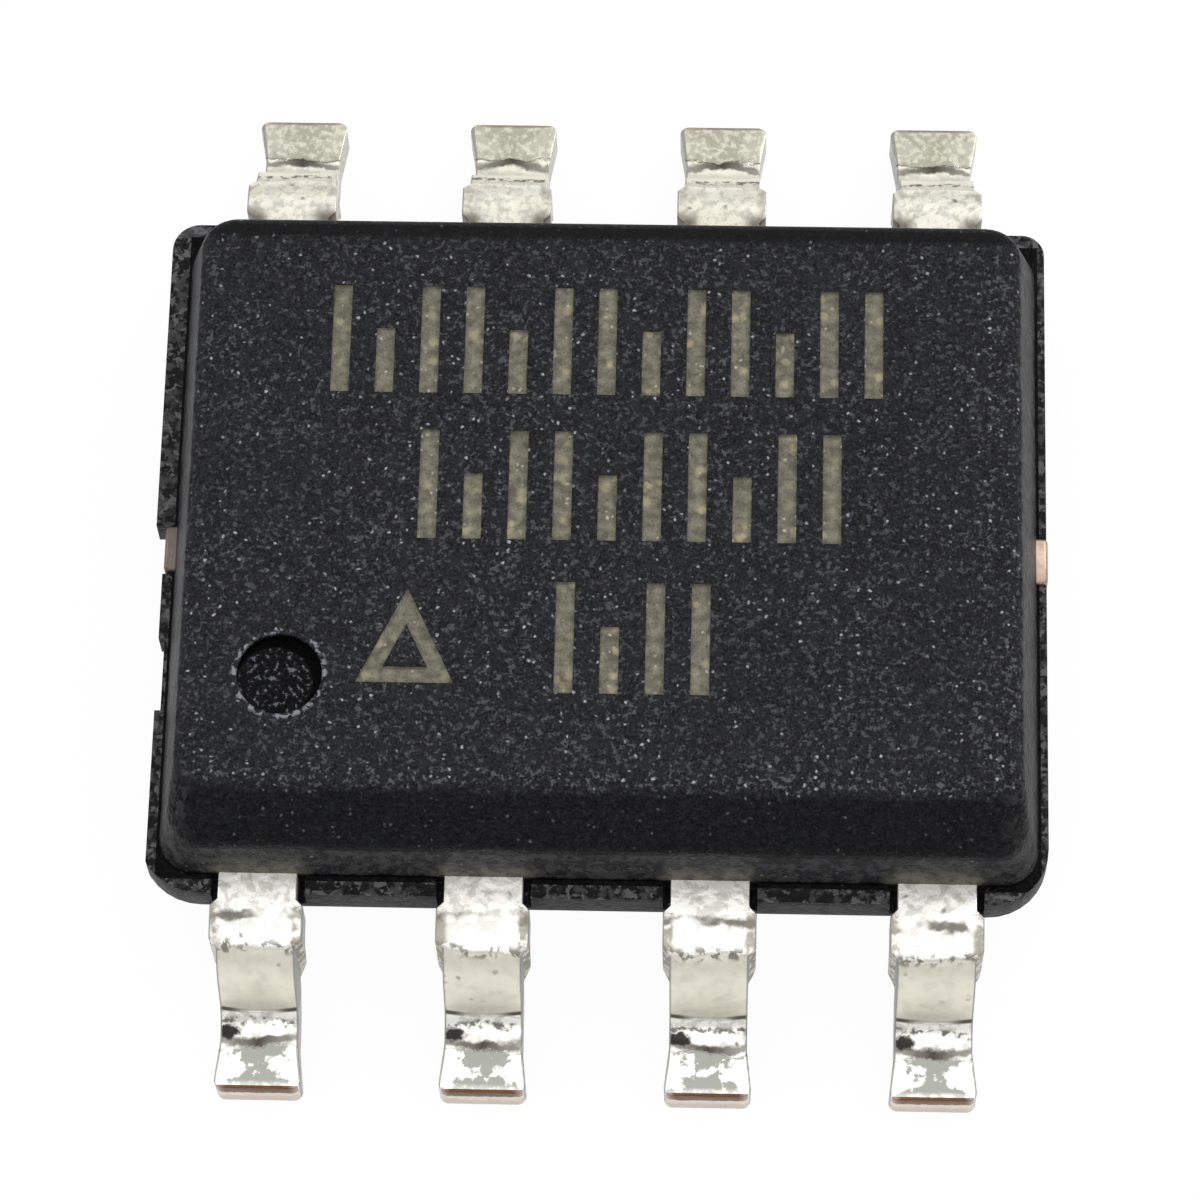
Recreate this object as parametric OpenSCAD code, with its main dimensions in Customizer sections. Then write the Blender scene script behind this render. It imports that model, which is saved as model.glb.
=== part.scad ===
// Eight-lead small-outline chip package, in millimetres.
// The feet stand on z = 0, leads 1 to 4 run from left to right along the -Y side,
// leads 5 to 8 from right to left along the +Y side.

/* [Case] */
// Length of the case at the parting plane, along X
case_l = 4.94; // [4.6:0.02:5.2]
// Width of the case at the parting plane, along Y
case_w = 3.94; // [3.7:0.02:4.2]
// Height of the case above the lead frame
upper_h = 0.55; // [0.5:0.01:0.9]
// Height of the case below the lead frame
lower_h = 0.46; // [0.35:0.01:0.7]
// Gap between the case and the board
standoff = 0.12; // [0.05:0.01:0.25]
// Slope of the moulded walls, in degrees
draft = 12; // [3:1:14]
// Radius of the upright corners
corner_r = 0.2; // [0.1:0.01:0.35]
// Radius of the top and bottom edges
edge_r = 0.07; // [0.03:0.01:0.12]
// Height of the long chamfer over leads 1 to 4
chamfer = 0.24; // [0.15:0.01:0.35]

/* [Ledge of flash] */
// How far the flash stands out along the lead sides
ledge_reach = 0.11; // [0.04:0.01:0.2]
// How far it stands out at the left end, behind the tie bar
left_reach = 0.125; // [0.08:0.005:0.2]
// How far it stands out at the left end, in front of the tie bar
left_front_reach = 0.075; // [0.07:0.005:0.2]
// How far it stands out at the right end
right_reach = 0.06; // [0.03:0.005:0.2]
// How far its top lies under the top of the leads
ledge_drop = 0.03; // [0:0.005:0.08]
// Width of the vent gap at the left end, along Y
vent_w = 0.44; // [0.2:0.01:0.6]
// Depth of the vent gap
vent_depth = 0.035; // [0.01:0.005:0.06]
// Width of the gap in the flash beside each lead
pocket_w = 0.045; // [0.02:0.005:0.1]

/* [Index dimple] */
// Diameter of the dimple near lead 1
dimple_d = 0.48; // [0.3:0.01:0.7]
// Depth of the dimple
dimple_depth = 0.07; // [0.02:0.01:0.12]
// Distance of its centre from the middle of the case, along X
dimple_x = 1.79; // [1.4:0.01:1.9]
// Distance of its centre from the middle of the case, along Y
dimple_y = 0.98; // [0.8:0.01:1.2]

/* [Marking] */
// Height of the marked bars
mark_h = 0.67; // [0.4:0.01:0.8]
// Width of a marked stroke
stroke = 0.105; // [0.05:0.005:0.15]
// Distance from bar to bar
bar_pitch = 0.254; // [0.2:0.002:0.28]
// Depth of the marking
mark_depth = 0.02; // [0.01:0.005:0.04]
// Width of the marked triangle
triangle_w = 0.55; // [0.4:0.01:0.6]
// Width of the triangle's sides
triangle_stroke = 0.095; // [0.05:0.005:0.11]

/* [Leads] */
// Distance between neighbouring leads
pitch = 1.27; // [1.2:0.01:1.4]
// Number of leads on each side
leads_per_side = 4; // [4:1:4]
// Thickness of the lead frame
lead_t = 0.24; // [0.15:0.01:0.25]
// Width of a lead at its shoulder
lead_w = 0.44; // [0.35:0.01:0.5]
// Width of the dam bar stub on each side of a lead
stub_w = 0.042; // [0.01:0.002:0.06]
// Length of the dam bar stub, along Y
stub_l = 0.27; // [0.2:0.01:0.4]
// Distance from toe to toe
span = 6.1; // [5.9:0.02:6.4]
// Length of the flat part of a foot
foot_l = 0.275; // [0.2:0.005:0.4]
// Width of a foot at its toe, on the side of leads 1 to 4
front_foot_w = 0.49; // [0.4:0.005:0.54]
// Width of a foot at its toe, on the side of leads 5 to 8
rear_foot_w = 0.52; // [0.4:0.005:0.56]
// Shortest flat stretch of a lead between the flash and its first bend
shoulder_min = 0.04; // [0.02:0.01:0.1]
// Radius of the toe's corners
toe_r = 0.05; // [0.02:0.01:0.1]
// Inner radius of the bend at the shoulder
shoulder_bend_r = 0.12; // [0.08:0.01:0.16]
// Inner radius of the bend above the foot
foot_bend_r = 0.19; // [0.1:0.01:0.22]
// Slope of the drop from shoulder to foot, in degrees
drop_angle = 75; // [65:1:85]
// Depth of the coined dent on a foot
coin_depth = 0.014; // [0.005:0.001:0.03]

/* [Lead frame inside] */
// Length of the die paddle
paddle_l = 2.5; // [2.0:0.05:2.6]
// Width of the die paddle
paddle_w = 1.7; // [1.4:0.05:1.8]
// Width of the tie bars
tie_w = 0.28; // [0.15:0.01:0.35]
// How far the cut tie bars stand out of the case's ends
tie_reach = 0.067; // [0.06:0.001:0.09]
// Gap between the paddle and the fingers
finger_gap = 0.2; // [0.1:0.01:0.25]
// Length of a finger's bond pad, along Y
finger_pad_l = 0.4; // [0.3:0.01:0.5]
// How much wider the bond pad is than the lead
finger_pad_extra = 0.16; // [0.06:0.02:0.3]

/* [Die and wires] */
// Length of the die
die_l = 1.4; // [1.0:0.05:1.8]
// Width of the die
die_w = 1.2; // [0.9:0.05:1.3]
// Thickness of the die
die_t = 0.22; // [0.1:0.01:0.26]
// Thickness of the adhesive under the die
attach_t = 0.02; // [0.01:0.005:0.04]
// How far the adhesive shows around the die
attach_rim = 0.04; // [0.01:0.01:0.1]
// Diameter of a bond wire
wire_d = 0.03; // [0.02:0.005:0.04]
// Diameter of the ball where a wire starts
ball_d = 0.08; // [0.05:0.01:0.1]
// Height of the ball
ball_h = 0.015; // [0.01:0.005:0.03]
// How far a wire rises before it bends over
wire_rise = 0.05; // [0.03:0.01:0.08]
// Radius of the wire's bend
wire_bend_r = 0.07; // [0.05:0.01:0.09]
// Distance of the bond pads from the die's edge
pad_inset = 0.1; // [0.08:0.01:0.2]

/* [Hidden] */
$fn = 48;
slab = 0.001;             // thickness of the thin slabs that the case halves are spanned over
over = 0.05;              // how far a cut runs past the face it opens
arc_steps = 8;            // steps in a lead's bend and in a rounded corner
edge_steps = 4;           // steps in the rounding of the case's edges
lead_bottom = standoff + lower_h;
lead_top = lead_bottom + lead_t;
case_top = lead_top + upper_h;
ledge_top = lead_top - ledge_drop;
half_l = case_l / 2;
half_w = case_w / 2;
paddle_top = lead_top;
die_z = paddle_top + attach_t;
die_top = die_z + die_t;
finger_y = paddle_w / 2 + finger_gap;
row_middle = (leads_per_side - 1) / 2;
foot_y = span / 2 - foot_l;          // where the flat foot begins
// The run of the two bends along Y is slope_run and turn_run times the sum of their radii and
// lead_t. The radii tighten together where the flash leaves less room than that.
slope_run = lead_bottom / tan(drop_angle);
turn_run = sin(drop_angle) - (1 - cos(drop_angle)) / tan(drop_angle);
bend_room = foot_y - half_w - ledge_reach - shoulder_min;
radii_room = (bend_room - slope_run) / turn_run - lead_t;
bend_fit = min(1, radii_room / (shoulder_bend_r + foot_bend_r));
shoulder_r = shoulder_bend_r * bend_fit;
foot_r = foot_bend_r * bend_fit;
// where the first bend begins
shoulder_y = foot_y - slope_run - turn_run * (shoulder_r + foot_r + lead_t);
stub_start = 0.04;                   // from the flash to the dam bar stub
stub_y = half_w + ledge_reach + stub_start;  // where the dam bar stub begins
waist_y = stub_y + stub_l;
blend = chamfer / 6;                 // half the height over which the chamfer's edge is eased
// This moves the part so that the origin lies under the middle of its whole outline.
frame_x = (left_reach - tie_reach) / 2;
tie_gap_y = tie_w / 2 + 0.01;        // half the gap in the flash around the left tie bar
vent_y = -0.77;                      // middle of the vent gap
ledge_corner_r = [0.36, 0.34, 0.13, 0.16];  // front left, front right, rear right, rear left
short_bar = 0.6;                     // height of a short bar as a share of a tall one
row_y = [1.09, 0.19, -0.735];        // middle of each row of marks
row_start = [-1.58, -1.05, -0.255];  // first bar of each row
row_bars = [13, 10, 4];              // bars in each row
triangle_x = -1.09;                  // middle of the marked triangle
triangle_h = triangle_w * 1.04;
triangle_side = norm([triangle_w / 2, triangle_h]);
// radius of the circle that touches the triangle's three sides
triangle_in_r = triangle_w * triangle_h / (triangle_w + 2 * triangle_side);
triangle_hole = 1 - triangle_stroke / triangle_in_r;  // size of its hole as a share of its own
finger_lean = pitch / 4;             // how far an outer lead's bond pad leans towards the paddle

// Leads 1 to 4 count up along +X on the -Y side, leads 5 to 8 count back on the +Y side.
function is_front(n) = n <= leads_per_side;
function side(n) = is_front(n) ? -1 : 1;
function lead_x(n) = pitch * (is_front(n) ? n - 1 - row_middle : 2 * leads_per_side - n - row_middle);

// Middle of lead n's bond pad along X: an outer lead's leans towards the paddle.
function finger_pad_x(n) = lead_x(n) - (abs(lead_x(n)) > pitch ? sign(lead_x(n)) * finger_lean : 0);

// Points of a quarter turn of radius r about c, from angle a to a + 90.
function corner(c, r, a) =
    [for (i = [0 : arc_steps]) c + r * [cos(a + 90 * i / arc_steps), sin(a + 90 * i / arc_steps)]];

// A rectangle from x0, y0 to x1, y1 whose corners have the radii r: front left, front right,
// rear right, rear left.
function rounded_box(x0, y0, x1, y1, r) = concat(
    corner([x0 + r[0], y0 + r[0]], r[0], 180), corner([x1 - r[1], y0 + r[1]], r[1], 270),
    corner([x1 - r[2], y1 - r[2]], r[2], 0), corner([x0 + r[3], y1 - r[3]], r[3], 90));

// How far the chamfered side is set in at height h over the parting plane, eased at its lower edge.
function chamfer_inset(h) =
    let (u = h - (upper_h - chamfer)) u <= -blend ? 0 : u >= blend ? u : pow(u + blend, 2) / (4 * blend);

// One thin slab of a case half at height h over the parting plane.
module case_slab(h, inset, front_inset) {
    side_in = h * tan(draft) + inset;
    front_in = side_in + front_inset;
    r = corner_r - inset / 2;
    translate([0, 0, h])
        linear_extrude(slab)
            polygon(rounded_box(-half_l + side_in, -half_w + front_in, half_l - side_in,
                                half_w - side_in, [r, r, r, r]));
}

// Half of the case, upwards from z = 0, with its free edge rounded.
module case_half(total, with_chamfer) {
    levels = [0, total - edge_r];
    eased = with_chamfer ? [for (i = [-2 : 2]) total - chamfer + blend * i / 2] : [];
    hull() {
        for (h = concat(levels, eased))
            case_slab(h, 0, with_chamfer ? chamfer_inset(h) : 0);
        for (i = [1 : edge_steps]) {
            a = 90 * i / edge_steps;
            h = total - edge_r + edge_r * sin(a) - slab;
            case_slab(h, edge_r * (1 - cos(a)), with_chamfer ? chamfer_inset(h) : 0);
        }
    }
}

// The flash all round at the lead frame's plane, with its gaps at the left end.
module ledge() {
    left = -half_l - left_reach;
    front_left = -half_l - left_front_reach;
    translate([0, 0, lead_bottom])
        linear_extrude(ledge_top - lead_bottom)
            difference() {
                polygon(rounded_box(left, -half_w - ledge_reach, half_l + right_reach,
                                    half_w + ledge_reach, ledge_corner_r));
                // the front part of the left end stands out less
                translate([left - over, -half_w - ledge_reach - over])
                    square([front_left - left + over, half_w + ledge_reach + over]);
                translate([left - over, -tie_gap_y])
                    square([left_reach + over, 2 * tie_gap_y]);
                translate([left - over, vent_y - vent_w / 2])
                    square([front_left - left + over + vent_depth, vent_w]);
            }
}

// The core between the two halves, as thick as the lead frame.
module core() {
    translate([0, 0, lead_bottom])
        linear_extrude(lead_t)
            polygon(rounded_box(-half_l, -half_w, half_l, half_w, corner_r * [1, 1, 1, 1]));
}

// Narrow gaps in the flash on both sides of each lead, from the wall to the flash's edge.
module pockets() {
    pocket_l = ledge_reach + over;
    for (n = [1 : 2 * leads_per_side], s = [-1, 1])
        translate([lead_x(n) + s * (lead_w + pocket_w) / 2, side(n) * (half_w + pocket_l / 2),
                   (ledge_top + lead_bottom) / 2 + lead_t / 4])
            cube([pocket_w, pocket_l, lead_t], center = true);
}

// Rows of plain upright bars, every third one short, and an outlined triangle.
module marks() {
    translate([0, 0, case_top - mark_depth])
        linear_extrude(mark_depth + over) {
            for (row = [0 : 2], i = [0 : row_bars[row] - 1])
                translate([row_start[row] + i * bar_pitch, row_y[row] - mark_h / 2])
                    square([stroke, i % 3 == 1 ? mark_h * short_bar : mark_h]);
            translate([triangle_x, row_y[2] - triangle_h / 2])
                difference() {
                    polygon([[-triangle_w / 2, 0], [triangle_w / 2, 0], [0, triangle_h]]);
                    translate([0, triangle_stroke])
                        polygon(triangle_hole
                                * [[-triangle_w / 2, 0], [triangle_w / 2, 0], [0, triangle_h]]);
                }
        }
}

module molded_case() {
    color([0.09, 0.09, 0.1])
        difference() {
            union() {
                translate([0, 0, lead_top]) case_half(upper_h, true);
                translate([0, 0, lead_bottom]) mirror([0, 0, 1]) case_half(lower_h, false);
                core();
                ledge();
            }
            for (n = [1 : 2 * leads_per_side]) {
                finger(n);
                bond_wire(n);
            }
            frame_middle();
            adhesive();
            die();
            pockets();
            translate([-dimple_x, -dimple_y, case_top - dimple_depth])
                cylinder(h = dimple_depth + over, d = dimple_d);
            marks();
        }
}

// The part of lead n that lies flat: its bond pad and the shoulder as far as the first bend.
module finger(n) {
    x = lead_x(n);
    pad_w = lead_w + finger_pad_extra;
    pad_x = finger_pad_x(n);
    far_x = x + sign(x) * lead_w / 2;
    translate([0, 0, lead_bottom])
        linear_extrude(lead_t)
            scale([1, side(n)]) {
                translate([min(pad_x - sign(x) * pad_w / 2, far_x), finger_y])
                    square([abs(far_x - pad_x + sign(x) * pad_w / 2), finger_pad_l]);
                translate([x - lead_w / 2, finger_y])
                    square([lead_w, shoulder_y - finger_y]);
            }
}

// Outline of the bent part of a lead as seen from its side, as [y, z].
function arc_points(c, r, from, to) =
    [for (i = [0 : arc_steps]) let (a = from + (to - from) * i / arc_steps) c + r * [sin(a), cos(a)]];
shoulder_c = [shoulder_y, lead_bottom - shoulder_r];
foot_c = [foot_y, lead_t + foot_r];
bend_outline = concat(
    arc_points(shoulder_c, shoulder_r + lead_t, 0, drop_angle),
    arc_points(foot_c, -foot_r, drop_angle, 0),
    [[span / 2, lead_t], [span / 2, 0]],
    arc_points(foot_c, -foot_r - lead_t, 0, drop_angle),
    arc_points(shoulder_c, shoulder_r, drop_angle, 0));

// Plan of the bent part: straight to the foot, which flares to its toe's round corners.
module bend_plan(foot_w) {
    half = lead_w / 2;
    toe = foot_w / 2;
    polygon(concat(
        [[-half, shoulder_y - over], [half, shoulder_y - over], [half, foot_y]],
        corner([toe - toe_r, span / 2 - toe_r], toe_r, 0),
        corner([-toe + toe_r, span / 2 - toe_r], toe_r, 90),
        [[-half, foot_y]]));
}

// The dam bar's stubs on both sides of the shoulder, in plan.
module stub_plan() {
    taper = stub_w;
    polygon([[-lead_w / 2 - stub_w, stub_y + taper], [-lead_w / 2, stub_y], [lead_w / 2, stub_y],
             [lead_w / 2 + stub_w, stub_y + taper], [lead_w / 2 + stub_w, waist_y - taper],
             [lead_w / 2, waist_y], [-lead_w / 2, waist_y], [-lead_w / 2 - stub_w, waist_y - taper]]);
}

// The side outline drawn out across the lead.
module bend_body(width) {
    rotate([90, 0, 90])
        linear_extrude(width, center = true)
            polygon(bend_outline);
}

module shoulder_body(width) {
    translate([-width / 2, finger_y, lead_bottom])
        cube([width, shoulder_y - finger_y, lead_t]);
}

// The shallow four-sided dent that the forming tool leaves on the foot.
module coin_dent(foot_w) {
    w = lead_w / 2 - 0.01;
    toe = foot_w / 2 - 0.015;
    y0 = foot_y - 0.01;
    y1 = span / 2 - 0.02;
    top = lead_t + 0.001;
    polyhedron([[-w, y0, top], [w, y0, top], [toe, y1, top], [-toe, y1, top],
                [0, (y0 + y1) / 2, lead_t - coin_depth]],
               [[0, 3, 2, 1], [0, 1, 4], [1, 2, 4], [2, 3, 4], [3, 0, 4]]);
}

module lead(n) {
    foot_w = is_front(n) ? front_foot_w : rear_foot_w;
    tall = case_top;
    color([0.8, 0.79, 0.75])
        union() {
            finger(n);
            translate([lead_x(n), 0, 0])
                scale([1, side(n), 1])
                    difference() {
                        union() {
                            intersection() {
                                bend_body(foot_w + lead_w);
                                linear_extrude(tall) bend_plan(foot_w);
                            }
                            intersection() {
                                union() {
                                    bend_body(foot_w + lead_w);
                                    shoulder_body(foot_w + lead_w);
                                }
                                linear_extrude(tall) stub_plan();
                            }
                        }
                        coin_dent(foot_w);
                    }
        }
}

// The paddle with its tie bars, which run out at both ends of the case.
module frame_middle() {
    translate([0, 0, lead_bottom])
        linear_extrude(lead_t) {
            square([paddle_l, paddle_w], center = true);
            square([case_l + 2 * tie_reach, tie_w], center = true);
        }
}

module die_paddle() {
    color([0.72, 0.45, 0.3]) frame_middle();
}

module adhesive() {
    translate([0, 0, paddle_top + attach_t / 2])
        cube([die_l + 2 * attach_rim, die_w + 2 * attach_rim, attach_t], center = true);
}

module die_attach() {
    color([0.75, 0.75, 0.78]) adhesive();
}

module die() {
    translate([0, 0, die_z + die_t / 2])
        cube([die_l, die_w, die_t], center = true);
}

module silicon_die() {
    color([0.35, 0.37, 0.45]) die();
}

// A wire from its ball on the die: up, over a bend, and down a slope to the finger's pad.
module bond_wire(n) {
    x = lead_x(n);
    row_x = pitch * row_middle;
    start = [x / row_x * (die_l / 2 - pad_inset), side(n) * (die_w / 2 - pad_inset)];
    goal = [finger_pad_x(n), side(n) * (finger_y + finger_pad_l / 3)];
    run = norm(goal - start);
    bend_z = die_top + ball_h + wire_rise;
    // slope at which the wire leaves its bend and meets the finger's pad
    fall = atan2(bend_z - lead_top, run - 2 * wire_bend_r);
    slope_l = (bend_z - lead_top) / sin(fall) + run * 0.2;
    r = wire_d / 2;
    translate([start[0], start[1], 0])
        rotate([0, 0, atan2(goal[1] - start[1], goal[0] - start[0])])
            difference() {
                union() {
                    translate([0, 0, die_top]) cylinder(h = ball_h, d = ball_d);
                    translate([0, 0, die_top + ball_h]) cylinder(h = wire_rise, r = r);
                    translate([wire_bend_r, 0, bend_z])
                        rotate([90, 0, 0])
                            rotate_extrude(angle = 90 + fall, start = 90 - fall)
                                translate([wire_bend_r, 0]) circle(r = r);
                    translate([wire_bend_r, 0, bend_z])
                        rotate([0, fall, 0])
                            translate([0, 0, wire_bend_r])
                                rotate([0, 90, 0])
                                    cylinder(h = slope_l, r = r);
                }
                // what runs on under the finger's pad is cut off
                translate([-run, -run, 0])
                    cube([3 * run, 2 * run, lead_top]);
            }
}

module wire(n) {
    color([0.95, 0.75, 0.3]) bond_wire(n);
}

module place() {
    translate([frame_x, 0, 0]) children();
}

place() molded_case();
for (n = [1 : 2 * leads_per_side]) {
    place() lead(n);
    place() wire(n);
}
place() die_paddle();
place() die_attach();
place() silicon_die();
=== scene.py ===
"""Looks of a small-outline chip package: moulded case, tin-plated leads, lead frame, die and wires.

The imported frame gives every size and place. Run as a script, this builds the dressed pieces, their
materials and the stage, and leaves a scene that is ready to render.
"""
import functools
import math

import bpy
from bpy.props import FloatProperty, FloatVectorProperty, IntProperty, PointerProperty
from mathutils import Matrix, Vector


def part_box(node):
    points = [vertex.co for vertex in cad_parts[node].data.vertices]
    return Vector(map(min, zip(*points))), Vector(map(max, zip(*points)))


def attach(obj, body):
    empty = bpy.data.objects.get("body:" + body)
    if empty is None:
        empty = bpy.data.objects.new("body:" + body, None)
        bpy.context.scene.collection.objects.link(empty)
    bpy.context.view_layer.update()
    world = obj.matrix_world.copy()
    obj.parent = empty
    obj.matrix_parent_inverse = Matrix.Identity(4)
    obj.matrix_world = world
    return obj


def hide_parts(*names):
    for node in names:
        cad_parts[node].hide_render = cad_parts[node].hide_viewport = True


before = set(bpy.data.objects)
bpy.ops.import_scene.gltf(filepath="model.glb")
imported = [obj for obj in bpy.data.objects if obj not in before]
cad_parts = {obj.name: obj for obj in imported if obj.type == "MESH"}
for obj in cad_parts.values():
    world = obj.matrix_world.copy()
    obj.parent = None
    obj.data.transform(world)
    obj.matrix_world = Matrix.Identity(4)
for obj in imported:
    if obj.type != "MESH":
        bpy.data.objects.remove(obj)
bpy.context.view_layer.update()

bl_info = {
    "name": "Small-outline chip",
    "version": (1, 0, 0),
    "blender": (4, 5, 0),
    "location": "View3D > Sidebar > Chip",
    "description": "Dresses a small-outline chip package around its packed frame",
    "category": "Object",
}

MM = 0.001
LEADS = range(1, 9)
BODY = "root"
CORE = 0.3                             # share of a soft spot or band that is at full strength
WELD = 1e-6                            # distance under which corners are one
FLAT_ANGLE = math.radians(0.4)         # facets that turn less are one face
CASE_ANGLE = math.radians(38)          # the case's edges that turn more are rounded
LEAD_ANGLE = math.radians(40)          # and so are the leads'
SMOOTH_ANGLE = math.radians(40)

CASE_HIGH = Vector(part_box("molded_case")[1])
FRAME_LOW, FRAME_HIGH = (Vector(corner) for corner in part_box("die_paddle"))
MIDDLE_X = (FRAME_LOW.x + FRAME_HIGH.x) / 2
LEAD_LOW = Vector(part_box("lead_2")[0])
LEAD_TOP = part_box("lead_2")[1][2]
PITCH = LEAD_LOW.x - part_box("lead_1")[0][0]
LEAD_X = MIDDLE_X - PITCH / 2          # middle of lead 2
STUB_HALF_W = LEAD_X - LEAD_LOW.x
LEAD_T = FRAME_HIGH.z - FRAME_LOW.z
TOE_Y = -LEAD_LOW.y


# ---------------------------------------------------------------- sizes, colours and view

class ChipSizes(bpy.types.PropertyGroup):
    """Small sizes that the finish adds to the frame's own."""
    lead_edge: FloatProperty(
        name="Lead edge", description="Radius of a lead's worn edges",
        default=0.022 * MM, unit="LENGTH", precision=6)
    case_edge: FloatProperty(
        name="Case edge", description="Radius of the case's moulded edges",
        default=0.008 * MM, unit="LENGTH", precision=6)
    lead_half: FloatProperty(
        name="Lead half width", description="Half the width of a lead beside its dam bar stubs",
        default=0.22 * MM, unit="LENGTH", precision=6)
    foot_half: FloatProperty(
        name="Foot half width", description="Half the width of a lead at its toe",
        default=0.245 * MM, unit="LENGTH", precision=6)
    flare: FloatProperty(
        name="Flare", description="Length of the foot over which it widens",
        default=0.275 * MM, unit="LENGTH", precision=6)
    dimple_r: FloatProperty(
        name="Dimple radius", description="Radius of the index dimple",
        default=0.24 * MM, unit="LENGTH", precision=6)
    dimple: FloatVectorProperty(
        name="Dimple", description="Middle of the index dimple, from the middle of the case",
        size=2, default=(-1.79 * MM, -0.98 * MM), unit="LENGTH", precision=6)
    mark_depth: FloatProperty(
        name="Mark depth", description="Depth of the laser marks under the top face",
        default=0.02 * MM, unit="LENGTH", precision=6)
    flash_drop: FloatProperty(
        name="Flash drop", description="From the top of the leads down to the top of the flash",
        default=0.03 * MM, unit="LENGTH", precision=6)
    crest: FloatProperty(
        name="Crest", description="From the flash's front edge to the upper edge of the chamfer",
        default=0.467 * MM, unit="LENGTH", precision=6)
    floor_size: FloatProperty(
        name="Floor size", description="Length of the square floor",
        default=400 * MM, unit="LENGTH")
    edge_segments: IntProperty(
        name="Edge segments", description="Steps in a rounded edge", default=2, min=1, max=4)


class ChipBands(bpy.types.PropertyGroup):
    """Where a lead's finish changes, as distances back from its toe."""
    foot_seam: FloatProperty(
        name="Foot seam", description="Dark seam where the foot begins",
        default=0.26 * MM, unit="LENGTH", precision=6)
    bend_seam: FloatProperty(
        name="Bend seam", description="Seam in the bend above the foot",
        default=0.40 * MM, unit="LENGTH", precision=6)
    drop_end: FloatProperty(
        name="End of the drop", description="Lower end of the smooth drop",
        default=0.507 * MM, unit="LENGTH", precision=6)
    drop_start: FloatProperty(
        name="Start of the drop", description="Upper end of the smooth drop",
        default=1.186 * MM, unit="LENGTH", precision=6)
    shoulder_seam: FloatProperty(
        name="Shoulder seam", description="Dark seam where the first bend begins",
        default=1.42 * MM, unit="LENGTH", precision=6)


class ChipColours(bpy.types.PropertyGroup):
    """Colours of the finishes, in linear light."""
    resin: FloatVectorProperty(
        name="Resin", description="Black moulding resin", subtype="COLOR", default=(0.0095, 0.0098, 0.0115))
    filler: FloatVectorProperty(
        name="Filler", description="Mineral grains in the resin", subtype="COLOR",
        default=(0.20, 0.205, 0.23))
    flash: FloatVectorProperty(
        name="Flash", description="Sheared edge of the flash", subtype="COLOR",
        default=(0.046, 0.046, 0.048))
    bleed: FloatVectorProperty(
        name="Bleed", description="Resin bleed over the leads", subtype="COLOR",
        default=(0.12, 0.11, 0.082))
    mark: FloatVectorProperty(
        name="Mark", description="Laser-burnt resin", subtype="COLOR", default=(0.20, 0.19, 0.145))
    tin: FloatVectorProperty(
        name="Tin", description="Matt tin plating", subtype="COLOR", default=(0.96, 0.945, 0.89))
    tin_shade: FloatVectorProperty(
        name="Dull tin", description="Dull patches in the plating", subtype="COLOR",
        default=(0.60, 0.595, 0.545))
    drawn: FloatVectorProperty(
        name="Drawn tin", description="Smooth plating of the drops", subtype="COLOR",
        default=(0.80, 0.765, 0.645))
    # grey of the painted reflection on the front feet's end facets
    pressed: FloatVectorProperty(
        name="Pressed tin", description="Dull plating of the front feet", subtype="COLOR",
        default=(0.37, 0.38, 0.345))
    # painted shade: the rear feet as a darker copy of the plating
    rear_foot: FloatVectorProperty(
        name="Rear feet", description="Duller plating of the rear feet", subtype="COLOR",
        default=(0.38, 0.37, 0.29))
    # painted shade on the leads' side faces and rolled edges
    edge: FloatVectorProperty(
        name="Edge", description="Rolled edges of the leads", subtype="COLOR", default=(0.26, 0.26, 0.25))
    stub: FloatVectorProperty(
        name="Stub", description="Cut dam bar beside the shoulders", subtype="COLOR",
        default=(0.24, 0.21, 0.15))
    scale: FloatVectorProperty(
        name="Scale", description="Brown scale in seams and pits", subtype="COLOR",
        default=(0.11, 0.085, 0.06))
    copper: FloatVectorProperty(
        name="Copper", description="Freshly sheared copper", subtype="COLOR", default=(0.12, 0.055, 0.025))
    tie_bar: FloatVectorProperty(
        name="Tie bar", description="Dull copper of the cut tie bars", subtype="COLOR",
        default=(0.50, 0.38, 0.31))
    smear: FloatVectorProperty(
        name="Smear", description="Tin smeared over a sheared face", subtype="COLOR",
        default=(0.75, 0.66, 0.56))
    # painted shade on the tie bar at the end with lead 1
    shaded_end: FloatVectorProperty(
        name="Tarnish", description="Dark film on the tie bar at the end with lead 1", subtype="COLOR",
        default=(0.06, 0.055, 0.055))
    gold: FloatVectorProperty(
        name="Gold", description="Bond wires", subtype="COLOR", default=(0.95, 0.68, 0.28))
    adhesive: FloatVectorProperty(
        name="Adhesive", description="Silver-filled adhesive", subtype="COLOR", default=(0.75, 0.75, 0.77))
    die_blue: FloatVectorProperty(
        name="Blue blocks", description="Blocks of circuitry", subtype="COLOR", default=(0.16, 0.2, 0.3))
    die_violet: FloatVectorProperty(
        name="Violet blocks", description="Other blocks of circuitry", subtype="COLOR",
        default=(0.26, 0.22, 0.34))
    die_lines: FloatVectorProperty(
        name="Die lines", description="Lines between the blocks", subtype="COLOR", default=(0.5, 0.48, 0.5))
    floor: FloatVectorProperty(
        name="Floor", description="Floor and backdrop", subtype="COLOR", default=(0.92, 0.92, 0.92))


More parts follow.
